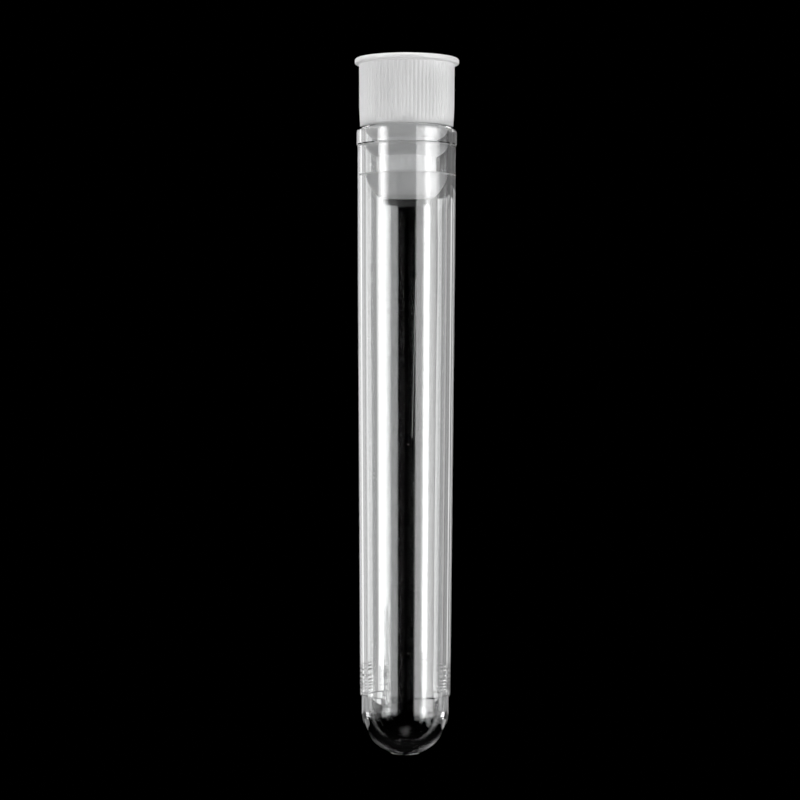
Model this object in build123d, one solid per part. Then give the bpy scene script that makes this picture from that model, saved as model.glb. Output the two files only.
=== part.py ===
from build123d import *

import os
from math import sqrt

# A 12 x 75 mm moulded test tube and its push-in stopper. All lengths are in millimetres.
# +Z runs up the axis, and the origin is the middle of the small flat under the round bottom.

# Outside of the tube. The barrel has little draft near the mouth and more below its bend.
TUBE_LENGTH = 75.0
COLLAR_RADIUS = 6.0
COLLAR_HEIGHT = 2.2
COLLAR_SLOPE_HEIGHT = 0.7
RIM_ROUND = 0.6
BARREL_TOP_RADIUS = 5.87
BARREL_BEND_RADIUS = 5.805
BARREL_BEND_Z = 57.0
BARREL_FOOT_RADIUS = 5.39
PARTING_Z = 7.05
DOME_RADIUS = 5.2
DOME_CENTRE_Z = 5.04

# Inside of the tube
MOUTH_RADIUS = 4.98
MOUTH_ROUND = 0.15
BORE_BEND_RADIUS = 4.92
HOLLOW_DOME_RADIUS = 4.5
FLOOR_THICKNESS = 0.9

# Head of the stopper: a flange over a ribbed skirt that stands on the tube's rim
SEAT_GAP = 0.05
HEAD_HEIGHT = 8.15
FLANGE_RADIUS = 6.25
FLANGE_THICKNESS = 0.7
FLANGE_ROUND = 0.25
SKIRT_TOP_RADIUS = 5.725
SKIRT_WAIST_RADIUS = 5.7
SKIRT_WAIST_HEIGHT = 2.25
SKIRT_FOOT_RADIUS = 5.58
SKIRT_FOOT_CURVE = 20.0
RIB_COUNT = 72
GROOVE_RADIUS = 0.13
GROOVE_CENTRE_RADIUS = 5.75

# Plug of the stopper, inside the mouth: a neck with a rounded root and two barbed rings.
# Each ring is a flat shoulder, a land against the bore and a swollen taper down to the neck.
PLUG_CLEARANCE = 0.03
NECK_RADIUS = 3.5
PLUG_END_RADIUS = 3.3
ROOT_LAND = 0.25
ROOT_ROUND = 1.2
UPPER_RING = {"depth": 2.1, "land": 0.4, "height": 1.5, "curve": 2.6, "end": NECK_RADIUS}
LOWER_RING = {"depth": 5.65, "land": 0.25, "height": 2.75, "curve": 4.8, "end": PLUG_END_RADIUS}

# Recess in the stopper, open at the top: wide in the head, narrow in the plug
RECESS_MOUTH_RADIUS = 4.5
RECESS_STEP_RADIUS = 4.3
RECESS_STEP_HEIGHT = 1.3
RECESS_NECK_RADIUS = 2.6
RECESS_END_RADIUS = 2.4
PLUG_FLOOR_THICKNESS = 1.0

SEAT_Z = TUBE_LENGTH + SEAT_GAP
STOPPER_TOP_Z = SEAT_Z + HEAD_HEIGHT


def turned(outline):
    """The solid that a closed outline, drawn as (radius, height), sweeps about the Z axis."""
    return revolve(Plane.XZ * make_face(outline), Axis.Z)


def bore_radius(z):
    """Radius of the tapered bore at a height between the barrel's bend and the mouth."""
    share = (z - BARREL_BEND_Z) / (TUBE_LENGTH - BARREL_BEND_Z)
    return BORE_BEND_RADIUS + share * (MOUTH_RADIUS - BORE_BEND_RADIUS)


def make_tube_outside():
    """Round bottom with a small flat, parting-line step, drafted barrel and a collar at the mouth."""
    flat_edge = (sqrt(DOME_RADIUS**2 - DOME_CENTRE_Z**2), 0)
    dome_top = (DOME_RADIUS, DOME_CENTRE_Z)
    collar_z = TUBE_LENGTH - COLLAR_HEIGHT
    rim_low = (COLLAR_RADIUS, TUBE_LENGTH - RIM_ROUND)
    rim_high = (COLLAR_RADIUS - RIM_ROUND, TUBE_LENGTH)
    outline = RadiusArc(flat_edge, dome_top, -DOME_RADIUS)
    outline += Polyline(
        dome_top,
        (DOME_RADIUS, PARTING_Z),
        (BARREL_FOOT_RADIUS, PARTING_Z),
        (BARREL_BEND_RADIUS, BARREL_BEND_Z),
        (BARREL_TOP_RADIUS, collar_z - COLLAR_SLOPE_HEIGHT),
        (COLLAR_RADIUS, collar_z),
        rim_low,
    )
    outline += RadiusArc(rim_low, rim_high, -RIM_ROUND)
    outline += Polyline(rim_high, (0, TUBE_LENGTH), (0, 0), flat_edge)
    return turned(outline)


def make_tube_hollow():
    """The bore: rounded at the mouth, tapered like the barrel, with a round bottom."""
    mouth_edge = (MOUTH_RADIUS + MOUTH_ROUND, TUBE_LENGTH)
    mouth_low = (MOUTH_RADIUS, TUBE_LENGTH - MOUTH_ROUND)
    dome_top = (HOLLOW_DOME_RADIUS, FLOOR_THICKNESS + HOLLOW_DOME_RADIUS)
    outline = RadiusArc(mouth_edge, mouth_low, -MOUTH_ROUND)
    outline += Polyline(mouth_low, (BORE_BEND_RADIUS, BARREL_BEND_Z), dome_top)
    outline += RadiusArc(dome_top, (0, FLOOR_THICKNESS), HOLLOW_DOME_RADIUS)
    outline += Polyline((0, FLOOR_THICKNESS), (0, TUBE_LENGTH), mouth_edge)
    return turned(outline)


def post(radius, low_z, high_z):
    """An upright cylinder on the axis between two heights."""
    base = Pos(0, 0, low_z)
    return base * Cylinder(radius, high_z - low_z, align=(Align.CENTER, Align.CENTER, Align.MIN))


def make_head():
    """Rounded flange over the skirt, whose foot is drawn in towards the rim."""
    flange_z = STOPPER_TOP_Z - FLANGE_THICKNESS
    waist = (SKIRT_WAIST_RADIUS, SEAT_Z + SKIRT_WAIST_HEIGHT)
    foot = (SKIRT_FOOT_RADIUS, SEAT_Z)
    skirt = Polyline(foot, (0, SEAT_Z), (0, flange_z), (SKIRT_TOP_RADIUS, flange_z), waist)
    skirt += RadiusArc(waist, foot, SKIRT_FOOT_CURVE)
    flange = post(FLANGE_RADIUS, flange_z, STOPPER_TOP_Z)
    return turned(skirt) + fillet(flange.edges().filter_by(GeomType.CIRCLE), FLANGE_ROUND)


def make_grooves():
    """The grooves that part the ribs, which run out where the skirt's foot draws in."""
    groove = post(GROOVE_RADIUS, SEAT_Z, STOPPER_TOP_Z - FLANGE_THICKNESS)
    return PolarLocations(GROOVE_CENTRE_RADIUS, RIB_COUNT) * groove


def make_root():
    """The top of the plug, which fills the mouth and rounds in to the neck."""
    radius = bore_radius(TUBE_LENGTH) - 2 * PLUG_CLEARANCE
    land_low = (radius, TUBE_LENGTH - ROOT_LAND)
    round_end = (radius - ROOT_ROUND, TUBE_LENGTH - ROOT_LAND - ROOT_ROUND)
    outline = RadiusArc(land_low, round_end, ROOT_ROUND)
    outline += Polyline(round_end, (0, round_end[1]), (0, SEAT_Z), (radius, SEAT_Z), land_low)
    return turned(outline)


def make_ring(depth, land, height, curve, end):
    """One barbed sealing ring, with its flat shoulder at a depth below the rim."""
    shoulder_z = TUBE_LENGTH - depth
    radius = bore_radius(shoulder_z - land) - PLUG_CLEARANCE
    land_low = (radius, shoulder_z - land)
    taper_end = (end, shoulder_z - height)
    outline = RadiusArc(land_low, taper_end, curve)
    outline += Polyline(taper_end, (0, taper_end[1]), (0, shoulder_z), (radius, shoulder_z), land_low)
    return turned(outline)


def make_recess():
    """The stepped blind recess that leaves an even wall in the head and in the plug."""
    step_z = SEAT_Z + RECESS_STEP_HEIGHT
    plug_end_z = TUBE_LENGTH - LOWER_RING["depth"] - LOWER_RING["height"]
    end_z = plug_end_z + PLUG_FLOOR_THICKNESS
    outline = Polyline(
        (0, end_z),
        (RECESS_END_RADIUS, end_z),
        (RECESS_NECK_RADIUS, step_z),
        (RECESS_STEP_RADIUS, step_z),
        (RECESS_MOUTH_RADIUS, STOPPER_TOP_Z),
        (0, STOPPER_TOP_Z),
        close=True,
    )
    return turned(outline)


def make_stopper():
    """Flanged and ribbed head over a hollow plug with two barbed rings."""
    plug = make_root() + post(NECK_RADIUS, TUBE_LENGTH - LOWER_RING["depth"], SEAT_Z)
    for ring in (UPPER_RING, LOWER_RING):
        plug += make_ring(**ring)
    return make_head() + plug - make_recess() - make_grooves()


os.makedirs("parts", exist_ok=True)
export_step(make_tube_outside() - make_tube_hollow(), "parts/tube.step")
export_step(make_stopper(), "parts/stopper.step")
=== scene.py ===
from math import cos, pi, radians, sin, sqrt, tan

import bpy
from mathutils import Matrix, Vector


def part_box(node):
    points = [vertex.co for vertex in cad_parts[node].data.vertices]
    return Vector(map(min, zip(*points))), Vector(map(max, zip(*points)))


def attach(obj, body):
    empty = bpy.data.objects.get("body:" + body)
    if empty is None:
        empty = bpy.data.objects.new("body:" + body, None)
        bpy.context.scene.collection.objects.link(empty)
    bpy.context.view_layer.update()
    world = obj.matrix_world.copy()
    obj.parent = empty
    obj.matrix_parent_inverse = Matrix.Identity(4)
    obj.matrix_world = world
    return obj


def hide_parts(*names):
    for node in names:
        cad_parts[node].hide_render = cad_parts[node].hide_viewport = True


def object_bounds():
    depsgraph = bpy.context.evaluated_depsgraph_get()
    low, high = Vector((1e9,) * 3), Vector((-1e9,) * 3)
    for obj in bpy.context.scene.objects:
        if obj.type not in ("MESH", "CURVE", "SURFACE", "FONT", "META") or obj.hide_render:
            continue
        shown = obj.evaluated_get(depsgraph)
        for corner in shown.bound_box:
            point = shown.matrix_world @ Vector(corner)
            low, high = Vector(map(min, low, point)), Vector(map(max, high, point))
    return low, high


# The looks of a clear moulded test tube and its white push-in stopper.
# Outlines are in millimetres, as (radius, height, rounding) corners, and MM turns them into metres.
MM = 0.001

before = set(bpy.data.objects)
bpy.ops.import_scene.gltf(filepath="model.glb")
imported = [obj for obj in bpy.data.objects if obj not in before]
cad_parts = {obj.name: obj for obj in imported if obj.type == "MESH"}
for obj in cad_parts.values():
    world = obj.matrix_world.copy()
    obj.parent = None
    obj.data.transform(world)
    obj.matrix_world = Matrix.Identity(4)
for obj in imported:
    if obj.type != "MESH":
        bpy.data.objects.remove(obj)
cad_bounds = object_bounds()
tube_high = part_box("tube")[1] / MM
stopper_low, stopper_high = (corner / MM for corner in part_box("stopper"))

# Tube
RIM_Z = tube_high.z
COLLAR_RADIUS = tube_high.x
COLLAR_Z = RIM_Z - 2.2
COLLAR_STEP = 0.11
BARREL_TOP = (5.88, RIM_Z - 2.9)
BARREL_BEND = (5.805, 57.0)
BARREL_FOOT_RADIUS = 5.39
PARTING_Z = 7.05
RIPPLE_TOP_Z = 11.2
RIPPLE_DEPTH = 0.02
RIPPLE_PITCH = 0.46
RIPPLE_EDGE_COSINE = 0.86
DOME_RADIUS = 5.2
DOME_CENTRE_Z = 5.04
FOOT_RADIUS = 1.7
FOOT_HEIGHT = 0.14
MOUTH_RADIUS = 4.98
BORE_BEND = (4.92, 57.0)
BEND_ROUNDING = 60
HOLLOW_DOME_RADIUS = 4.5
HOLLOW_FLOOR_Z = 0.9
HOLLOW_CENTRE_Z = HOLLOW_FLOOR_Z + HOLLOW_DOME_RADIUS

# Stopper
TOP_Z = stopper_high.z
FLANGE_RADIUS = stopper_high.x
FLANGE_Z = TOP_Z - 0.7
SKIRT_TOP_RADIUS = 5.725
SKIRT_MIDDLE_RADIUS = 5.7
SKIRT_FOOT_RADIUS = 5.58
SKIRT_INNER_RADIUS = 5.0
SEAT_Z = RIM_Z + 0.05
ROOT_Z = RIM_Z - 0.25
ROOT_CLEARANCE = 0.06
ROOT_ROUNDING = 1.2
UPPER_SHOULDER_Z = RIM_Z - 2.1
UPPER_LAND = 0.4
UPPER_BULGE = 2.6
UPPER_TAPER_END_Z = RIM_Z - 3.6
LOWER_SHOULDER_Z = RIM_Z - 5.65
LOWER_LAND = 0.25
LOWER_BULGE = 4.8
PLUG_END_Z = stopper_low.z
PLUG_END_RADIUS = 3.3
NECK_RADIUS = 3.5
RECESS_MOUTH_RADIUS = 4.5
RECESS_LEDGE_Z = SEAT_Z + 1.3
RECESS_LEDGE_RADII = (4.3, 2.6)
RECESS_END_RADIUS = 2.4
PLUG_FLOOR = 1.0
LAND_CLEARANCE = 0.03
SEAL_WIDTH = 0.16
SEAL_BITE = 0.012
SEAL_TAPER = 0.06
RIB_COUNT = 72
RIB_STEPS = 8
RIB_DEPTH = 0.14


def bore_radius(z):
    """Radius of the tapered bore between the barrel's bend and the mouth."""
    share = (z - BORE_BEND[1]) / (RIM_Z - BORE_BEND[1])
    return BORE_BEND[0] + share * (MOUTH_RADIUS - BORE_BEND[0])


def barrel_radius(z):
    """Radius of the barrel's outside between the parting line and the barrel's bend."""
    share = (z - PARTING_Z) / (BARREL_BEND[1] - PARTING_Z)
    return BARREL_FOOT_RADIUS + share * (BARREL_BEND[0] - BARREL_FOOT_RADIUS)


# ---------------------------------------------------------------- outlines and meshes

# Distances between the mesh's rows, in millimetres. A row stands HOLD from each corner of a long run.
HOLD = 0.03
ROW_SPACING = 1.0
RIPPLE_ROW_SPACING = 0.06


def put(name, data):
    """A new object in the scene, made from a mesh, a lamp or a camera."""
    thing = bpy.data.objects.new(name, data)
    bpy.context.collection.objects.link(thing)
    return thing


def sweep(centre, first, final, steps):
    """Points that turn about a centre from one end of an arc to the other."""
    turn = first.angle(final)
    points = []
    for step in range(steps + 1):
        share = step / steps
        point = centre + (first * sin((1 - share) * turn) + final * sin(share * turn)) / sin(turn)
        points.append((point.x, point.y))
    return points


def rounded(corners, steps=6):
    """The corners of an outline, with each one that has a rounding turned into an arc."""
    points = []
    for i, (r, z, rounding) in enumerate(corners):
        if not rounding:
            points.append((r, z))
            continue
        here = Vector((r, z))
        back = (Vector(corners[i - 1][:2]) - here).normalized()
        ahead = (Vector(corners[i + 1][:2]) - here).normalized()
        half = back.angle(ahead) / 2
        centre = here + (back + ahead).normalized() * rounding / sin(half)
        reach = rounding / tan(half)
        points += sweep(centre, here + back * reach - centre, here + ahead * reach - centre, steps)
    return points


def bulge(start, end, radius, steps=10):
    """Points down and inwards along a taper that swells outwards as an arc of the given radius."""
    start, end = Vector(start), Vector(end)
    chord = end - start
    towards_centre = Vector((chord.y, -chord.x)).normalized()
    centre = (start + end) / 2 + towards_centre * sqrt(radius**2 - (chord.length / 2) ** 2)
    return sweep(centre, start - centre, end - centre, steps)


def is_rippled(r, z):
    """Whether a point is on the outside just above the parting line, where the sink waves are."""
    return r > BARREL_FOOT_RADIUS - 0.01 and z < RIPPLE_TOP_Z + 0.01


def filled(outline):
    """The outline with extra points on its long runs, so that smooth shading stays true there."""
    points = [outline[0]]
    for start, end in zip(outline, outline[1:]):
        start, end = Vector(start), Vector(end)
        length = (end - start).length
        if length > 2 * HOLD:
            rippled = is_rippled(start.x, max(start.y, end.y))
            spacing = RIPPLE_ROW_SPACING if rippled else ROW_SPACING
            count = max(1, round(length / spacing))
            shares = [HOLD / length] + [k / count for k in range(1, count)] + [1 - HOLD / length]
            points += [tuple(start.lerp(end, share)) for share in shares]
        points.append(tuple(end))
    return points


def lathe(name, outline, segments, offset=None):
    """A closed mesh turned about Z from an outline that starts and ends on the axis."""
    outline = filled(outline)
    vertices = []
    rows = []
    for r, z in outline:
        if r < 1e-6:
            rows.append([len(vertices)])
            vertices.append((0, 0, z * MM))
            continue
        rows.append(range(len(vertices), len(vertices) + segments))
        for i in range(segments):
            angle = 2 * pi * i / segments
            reach = r + (offset(r, z, angle) if offset else 0)
            vertices.append((reach * cos(angle) * MM, reach * sin(angle) * MM, z * MM))
    faces = []
    for low, high in zip(rows, rows[1:]):
        for i in range(segments):
            j = (i + 1) % segments
            if len(low) == 1:
                faces.append((low[0], high[j], high[i]))
            elif len(high) == 1:
                faces.append((low[i], low[j], high[0]))
            else:
                faces.append((low[i], low[j], high[j], high[i]))
    mesh = bpy.data.meshes.new(name)
    mesh.from_pydata(vertices, [], faces)
    mesh.shade_smooth()
    return put(name, mesh)


def dome(radius, centre_z, low_z, steps=28):
    """Points up the outside of a round bottom, from a height on it to its widest place."""
    first = Vector((sqrt(radius**2 - (centre_z - low_z) ** 2), low_z - centre_z))
    return sweep(Vector((0, centre_z)), first, Vector((radius, 0)), steps)


def window(value, low, high, edge):
    """1 between two limits and 0 outside them, with soft edges."""
    return min(1, max(0, (value - low) / edge)) * min(1, max(0, (high - value) / edge))


def ripple(r, z, angle):
    """Faint sink waves round the outside, at both sides just above the parting line."""
    if not is_rippled(r, z):
        return 0
    side = max(0, abs(cos(angle)) - RIPPLE_EDGE_COSINE) / (1 - RIPPLE_EDGE_COSINE)
    wave = sin(2 * pi * z / RIPPLE_PITCH + 2.2 * sin(2.3 * z) + 3 * sin(angle))
    return RIPPLE_DEPTH * side * window(z, PARTING_Z + 0.1, RIPPLE_TOP_Z, 0.8) * wave


def make_tube():
    """Foot, round bottom, parting-line step, drafted barrel and collar, and the hollow inside."""
    outline = rounded([(0, 0, 0), (FOOT_RADIUS, 0, 0.07), (FOOT_RADIUS, FOOT_HEIGHT, 0)])
    outline += dome(DOME_RADIUS, DOME_CENTRE_Z, FOOT_HEIGHT)
    outline += rounded(
        [
            (DOME_RADIUS, DOME_CENTRE_Z + 0.1, 0),
            (DOME_RADIUS, PARTING_Z, 0.06),
            (BARREL_FOOT_RADIUS, PARTING_Z, 0.06),
            (barrel_radius(RIPPLE_TOP_Z), RIPPLE_TOP_Z, 0),
            (*BARREL_BEND, BEND_ROUNDING),
            (*BARREL_TOP, 0.3),
            (COLLAR_RADIUS - COLLAR_STEP, COLLAR_Z - 0.01, 0.02),
            (COLLAR_RADIUS, COLLAR_Z + COLLAR_STEP, 0.02),
            (COLLAR_RADIUS, RIM_Z, 0.6),
            (MOUTH_RADIUS, RIM_Z, 0.15),
            (*BORE_BEND, BEND_ROUNDING),
            (HOLLOW_DOME_RADIUS, HOLLOW_CENTRE_Z, 0),
        ]
    )
    outline += reversed(dome(HOLLOW_DOME_RADIUS, HOLLOW_CENTRE_Z, HOLLOW_FLOOR_Z + 1e-4)[1:-1])
    outline += [(0, HOLLOW_FLOOR_Z)]
    return lathe("clear_tube", outline, 256, ripple)


def rib(r, z, angle):
    """How far the skirt's surface is moved outwards from its ribs' crests, so 0 or less."""
    if r < SKIRT_INNER_RADIUS:
        return 0
    wear = 0.75 + 0.25 * sin(5 * angle + 1) * sin(11 * angle)
    groove = (0.5 - 0.5 * cos(RIB_COUNT * angle)) ** 2
    return -RIB_DEPTH * wear * groove * window(z, SEAT_Z + 0.3, FLANGE_Z - 0.05, 0.5)


def land(z):
    """The lower end of a ring's land, just clear of the bore."""
    return (bore_radius(z) - LAND_CLEARANCE, z)


def seal(shoulder_z):
    """The narrow band under a ring's shoulder that bites into the bore, and the shoulder itself."""
    band_z = shoulder_z - SEAL_WIDTH
    return [
        (bore_radius(band_z) - LAND_CLEARANCE, band_z - SEAL_TAPER, 0),
        (bore_radius(band_z) + SEAL_BITE, band_z, 0),
        (bore_radius(shoulder_z) + SEAL_BITE, shoulder_z, 0.04),
        (NECK_RADIUS, shoulder_z, 0.12),
    ]


def make_stopper():
    """Flange, ribbed skirt, plug with two barbed rings, and the recess that is open at the top."""
    outline = [(0, PLUG_END_Z)]
    lower_land = land(LOWER_SHOULDER_Z - LOWER_LAND)
    upper_land = land(UPPER_SHOULDER_Z - UPPER_LAND)
    upper_taper_end = (NECK_RADIUS, UPPER_TAPER_END_Z)
    root = (bore_radius(RIM_Z) - ROOT_CLEARANCE, ROOT_Z)
    root_foot = (root[0] - ROOT_ROUNDING, ROOT_Z - ROOT_ROUNDING)
    outline += bulge(lower_land, (PLUG_END_RADIUS, PLUG_END_Z), LOWER_BULGE)[::-1]
    outline += rounded([(*lower_land, 0), *seal(LOWER_SHOULDER_Z), (*upper_taper_end, 0)])[1:]
    outline += bulge(upper_land, upper_taper_end, UPPER_BULGE)[-2::-1]
    outline += rounded(
        [
            (*upper_land, 0),
            *seal(UPPER_SHOULDER_Z),
            (NECK_RADIUS, root_foot[1], 0.1),
            (*root_foot, 0),
        ]
    )[1:]
    outline += bulge(root, root_foot, ROOT_ROUNDING)[-2::-1]
    outline += rounded(
        [
            (*root, 0),
            (root[0], SEAT_Z, 0.05),
            (SKIRT_FOOT_RADIUS, SEAT_Z, 0.15),
            (SKIRT_MIDDLE_RADIUS, SEAT_Z + 2.25, 20),
            (SKIRT_TOP_RADIUS, FLANGE_Z, 0.12),
            (FLANGE_RADIUS, FLANGE_Z, 0.25),
            (FLANGE_RADIUS, TOP_Z, 0.25),
            (RECESS_MOUTH_RADIUS, TOP_Z, 0.2),
            (RECESS_LEDGE_RADII[0], RECESS_LEDGE_Z, 0.3),
            (RECESS_LEDGE_RADII[1], RECESS_LEDGE_Z, 0.3),
            (RECESS_END_RADIUS, PLUG_END_Z + PLUG_FLOOR, 0.5),
            (0, PLUG_END_Z + PLUG_FLOOR, 0),
        ]
    )[1:]
    return lathe("white_stopper", outline, RIB_COUNT * RIB_STEPS, rib)


# ---------------------------------------------------------------- materials

# Lengths are in millimetres. The scratch's middle is (x, height), and its slant is x by height.
# STREAKS and GRAIN are features per metre across the axis and along it, and DUST_SIZE is a speck's
# radius as a share of the distance between specks.
SCRATCH_MIDDLE = (0.91, 47.2)
SCRATCH_SLANT = 0.0204
SCRATCH_LENGTH = 18
SCRATCH_HALF_WIDTH = 0.015
DUST_PER_METRE = 450
DUST_SIZE = 0.02
MARK_ROUGHNESS = 0.6
STREAKS = (2200, 12)
STREAK_DEPTH = 0.0015
GRAIN = (5000, 2500)
GRAIN_DEPTH = 0.03
CLEAR_IOR = 1.59
WHITE_IOR = 1.5
WHITE_SCATTER = 3.0


def principled(name, **values):
    """A material with one Principled shader, and its node tree."""
    material = bpy.data.materials.new(name)
    material.use_nodes = True
    shader = material.node_tree.nodes["Principled BSDF"]
    for socket, value in values.items():
        shader.inputs[socket.replace("_", " ")].default_value = value
    return material, material.node_tree, shader


def feed(tree, socket, value):
    """Links an input to another node's socket, or sets it to a value."""
    if isinstance(value, bpy.types.NodeSocket):
        tree.links.new(value, socket)
    else:
        socket.default_value = value


def add(tree, kind, **values):
    """A node of a kind, with its named inputs fed."""
    node = tree.nodes.new("ShaderNode" + kind)
    for name, value in values.items():
        feed(tree, node.inputs[name], value)
    return node


def calculate(tree, operation, *values):
    """The result of a Math node, fed with sockets or numbers."""
    node = tree.nodes.new("ShaderNodeMath")
    node.operation = operation
    for socket, value in zip(node.inputs, values):
        feed(tree, socket, value)
    return node.outputs["Value"]


def relief(tree, shader, features, detail, depth):
    """Raises a surface by noise with its features per metre across the axis and along it."""
    across, along = features
    place = add(tree, "TexCoord").outputs["Object"]
    squeezed = add(tree, "Mapping", Vector=place, Scale=(across, across, along)).outputs["Vector"]
    noise = add(tree, "TexNoise", Vector=squeezed, Scale=1.0, Detail=detail).outputs["Fac"]
    bump = add(tree, "Bump", Strength=1.0, Distance=depth * MM, Height=noise)
    tree.links.new(bump.outputs["Normal"], shader.inputs["Normal"])


def below(tree, value, limit, edge):
    """1 where a value is under a limit, falling to 0 over a soft edge."""
    values = {"From Min": limit, "From Max": limit + edge, "To Min": 1.0, "To Max": 0.0}
    return add(tree, "MapRange", Value=value, **values).outputs["Result"]


def scratch(tree):
    """A mask for one hairline scratch down the front of the barrel, slightly slanted."""
    corner = add(tree, "SeparateXYZ", Vector=add(tree, "TexCoord").outputs["Object"])
    x, y, z = (corner.outputs[name] for name in "XYZ")
    height = calculate(tree, "SUBTRACT", z, SCRATCH_MIDDLE[1] * MM)
    drift = calculate(tree, "MULTIPLY_ADD", height, SCRATCH_SLANT, SCRATCH_MIDDLE[0] * MM)
    aside = calculate(tree, "ABSOLUTE", calculate(tree, "SUBTRACT", x, drift))
    line = below(tree, aside, SCRATCH_HALF_WIDTH * MM, 2 * SCRATCH_HALF_WIDTH * MM)
    reach = below(tree, calculate(tree, "ABSOLUTE", height), SCRATCH_LENGTH / 2 * MM, 0.5 * MM)
    front = below(tree, y, -5.2 * MM, 0.01 * MM)
    return calculate(tree, "MULTIPLY", calculate(tree, "MULTIPLY", line, reach), front)


def dust(tree):
    """A mask for a few dust specks of uneven size."""
    place = add(tree, "TexCoord").outputs["Object"]
    cells = add(tree, "TexVoronoi", Vector=place, Scale=DUST_PER_METRE)
    return below(tree, cells.outputs["Distance"], DUST_SIZE, DUST_SIZE)


def clear_plastic():
    """Clear polystyrene: smooth, with a scratch, dust specks and fine streaks along the axis."""
    material, tree, shader = principled(
        "clear_polystyrene",
        Base_Color=(0.985, 0.99, 0.99, 1),
        IOR=CLEAR_IOR,
        Transmission_Weight=1.0,
    )
    marks = calculate(tree, "MAXIMUM", scratch(tree), dust(tree))
    tree.links.new(calculate(tree, "MULTIPLY", marks, MARK_ROUGHNESS), shader.inputs["Roughness"])
    relief(tree, shader, STREAKS, 2, STREAK_DEPTH)
    return material


def white_plastic():
    """White polyethylene: translucent, satin and finely grained."""
    material, tree, shader = principled(
        "white_polyethylene",
        Base_Color=(0.94, 0.945, 0.95, 1),
        Roughness=0.3,
        IOR=WHITE_IOR,
        Subsurface_Weight=1.0,
        Subsurface_Scale=WHITE_SCATTER * MM,
        Subsurface_Radius=(1, 1, 1),
    )
    relief(tree, shader, GRAIN, 3, GRAIN_DEPTH)
    return material


# ---------------------------------------------------------------- stage

# Lengths are in metres, except the camera's lens and its small offset, which are in millimetres.
CAMERA_DISTANCE = 0.312
CAMERA_OFFSET = (-0.72, 0.73)
CAMERA_ROLL = radians(-0.15)
LENS = 117.15
FLOOR_LEVEL = -0.15
FLOOR_RADIUS = 0.4
FLOOR_SIDES = 96
# The floor's colour at its middle, where its painted pool of light is brightest; it fades to black at
# the edge.
FLOOR_TONE = 0.006
STUDIO_RADIUS = 3.0
STUDIO_CENTRE = (cad_bounds[0] + cad_bounds[1]) / 2

# Each softbox is an upright panel that faces the tube. Its sides are degrees round the tube from the
# camera's side, right positive, then degrees above the tube's middle, and last comes its radiance.
SOFTBOXES = {
    "left_key": (-69, -56, -7.2, 28, 8.0),
    "left_key_outer": (-72, -69, -7.2, 28, 2.0),
    "left_key_inner": (-56, -51, -5.8, 24, 5.5),
    "left_key_edge": (-51, -46, -5.8, 24, 2.2),
    "left_key_low": (-72, -46, -14, -7.2, 0.5),
    "left_fill": (-46, -24, -9, 5, 0.42),
    "left_side": (-117, -72, 14, 28, 3.2),
    "left_rear_outer": (-129, -117, -8, 11, 0.7),
    "left_rear_dim": (-147, -129, -8, 11, 0.45),
    "left_rear": (-165, -156, -8, 11, 0.85),
    "left_rear_bright": (-156, -147, -8, 11, 1.3),
    "left_rear_inner": (-171, -165, -8, 7, 0.42),
    "left_rear_edge": (-174, -171, -8, 7, 0.85),
    "left_side_low": (-117, -72, -14, -7.2, 0.7),
    "left_low_top": (-165, -117, -13, -8, 0.3),
    "left_low": (-147, -117, -28, -13, 1.1),
    "right_fill": (24, 45, -9, 14, 3.0),
    "right_fill_low": (24, 45, -19, -9, 1.5),
    "right_key_inner": (45, 48, -10, 14, 4.5),
    "right_key": (48, 57, -12, 14, 8.0),
    "right_key_outer": (57, 63, -12, 14, 6.2),
    "right_wide": (63, 78, -10, 14, 5.0),
    "right_wide_outer": (78, 84, -10, 14, 3.1),
    "right_side_low": (84, 126, -22, -7.6, 0.8),
    "right_rear_outer": (126, 146, -8, 5, 0.3),
    "right_rear_bright": (146, 154, -8, 5, 1.0),
    "right_rear_dim": (154, 165, -8, 5, 0.33),
    "right_rear_inner": (165, 170, -8, 5, 0.65),
    "right_rear_top": (126, 170, 5, 8, 0.15),
    "right_low_top": (126, 165, -13, -8, 0.3),
    "right_low": (126, 147, -28, -13, 1.8),
}
TOP_LIGHT_SIZE = 0.7
TOP_LIGHT_RADIANCE = 60


def softbox(name, start, end, low, high, radiance):
    """An upright soft light between two azimuths and two elevations, seen from the tube's middle."""
    azimuth = radians((start + end) / 2)
    outward = Vector((sin(azimuth), -cos(azimuth), 0))
    low = STUDIO_RADIUS * tan(radians(low))
    high = STUDIO_RADIUS * tan(radians(high))
    lamp = bpy.data.lights.new(name, "AREA")
    lamp.shape = "RECTANGLE"
    lamp.size = 2 * STUDIO_RADIUS * tan(radians(end - start) / 2)
    lamp.size_y = high - low
    lamp.energy = radiance * pi * lamp.size * lamp.size_y
    light = put(name, lamp)
    light.location = STUDIO_CENTRE + outward * STUDIO_RADIUS + Vector((0, 0, (low + high) / 2))
    light.rotation_euler = (-outward).to_track_quat("-Z", "Y").to_euler()
    light.visible_camera = False


def top_light():
    """A soft light straight above, which reaches the tube through the stopper's open recess."""
    lamp = bpy.data.lights.new("top_light", "AREA")
    lamp.shape = "DISK"
    lamp.size = TOP_LIGHT_SIZE
    lamp.energy = TOP_LIGHT_RADIANCE * pi * pi * (TOP_LIGHT_SIZE / 2) ** 2
    light = put("top_light", lamp)
    light.location = (0, 0, STUDIO_RADIUS)
    light.visible_camera = False


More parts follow.
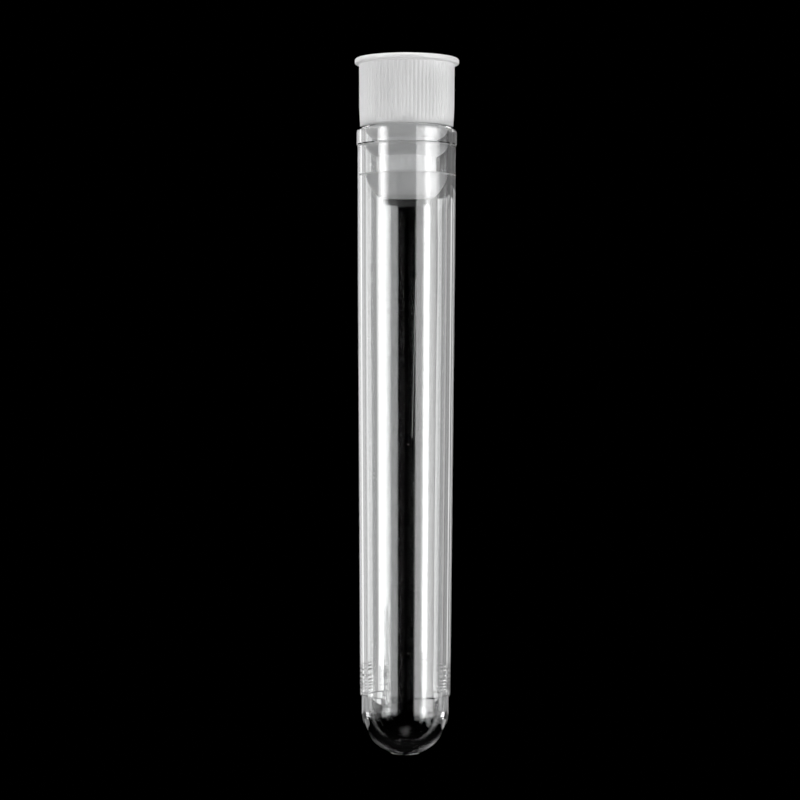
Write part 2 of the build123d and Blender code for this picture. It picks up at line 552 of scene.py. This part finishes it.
def make_camera():
    """A long lens level with the tube's middle, which sees the whole object."""
    camera = put("camera", bpy.data.cameras.new("camera"))
    camera.data.lens = LENS
    camera.data.clip_start = 0.01
    aside, up = CAMERA_OFFSET
    camera.location = (aside * MM, -CAMERA_DISTANCE, STUDIO_CENTRE.z + up * MM)
    camera.rotation_euler = (radians(90), CAMERA_ROLL, 0)
    bpy.context.scene.camera = camera


def make_floor():
    """A nearly black round floor well under the tube, with a painted pool of light: its colour fades
    out towards its edge.
    """
    mesh = bpy.data.meshes.new("floor")
    turns = [2 * pi * i / FLOOR_SIDES for i in range(FLOOR_SIDES)]
    rim = [(FLOOR_RADIUS * cos(turn), FLOOR_RADIUS * sin(turn), 0) for turn in turns]
    mesh.from_pydata(rim, [], [range(FLOOR_SIDES)])
    floor = put("floor", mesh)
    floor.location = (0, 0, FLOOR_LEVEL)
    material, tree, shader = principled("floor_paint", Roughness=0.8, Specular_IOR_Level=0.0)
    place = add(tree, "TexCoord").outputs["Object"]
    scaled = add(tree, "Mapping", Vector=place, Scale=(1 / FLOOR_RADIUS,) * 3).outputs["Vector"]
    # Painted light: the floor's colour fades from its middle to black at its edge, a painted pool of
    # light and its falloff.
    painted_falloff = add(tree, "TexGradient", Vector=scaled)
    painted_falloff.gradient_type = "QUADRATIC_SPHERE"
    painted_pool = add(tree, "ValToRGB", Fac=painted_falloff.outputs["Fac"])
    painted_pool.color_ramp.elements[0].color = (0, 0, 0, 1)
    painted_pool.color_ramp.elements[1].color = (FLOOR_TONE, FLOOR_TONE, FLOOR_TONE, 1)
    tree.links.new(painted_pool.outputs["Color"], shader.inputs["Base Color"])
    mesh.materials.append(material)


make_camera()
for name, panel in SOFTBOXES.items():
    softbox(name, *panel)
top_light()
make_floor()

world = bpy.data.worlds.new("dark_studio")
world.use_nodes = True
world.node_tree.nodes["Background"].inputs["Color"].default_value = (0, 0, 0, 1)
bpy.context.scene.world = world
bpy.context.scene.view_settings.view_transform = "Standard"

tube = make_tube()
tube.data.materials.append(clear_plastic())
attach(tube, "tube")
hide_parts("tube")

stopper = make_stopper()
stopper.data.materials.append(white_plastic())
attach(stopper, "stopper")
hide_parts("stopper")
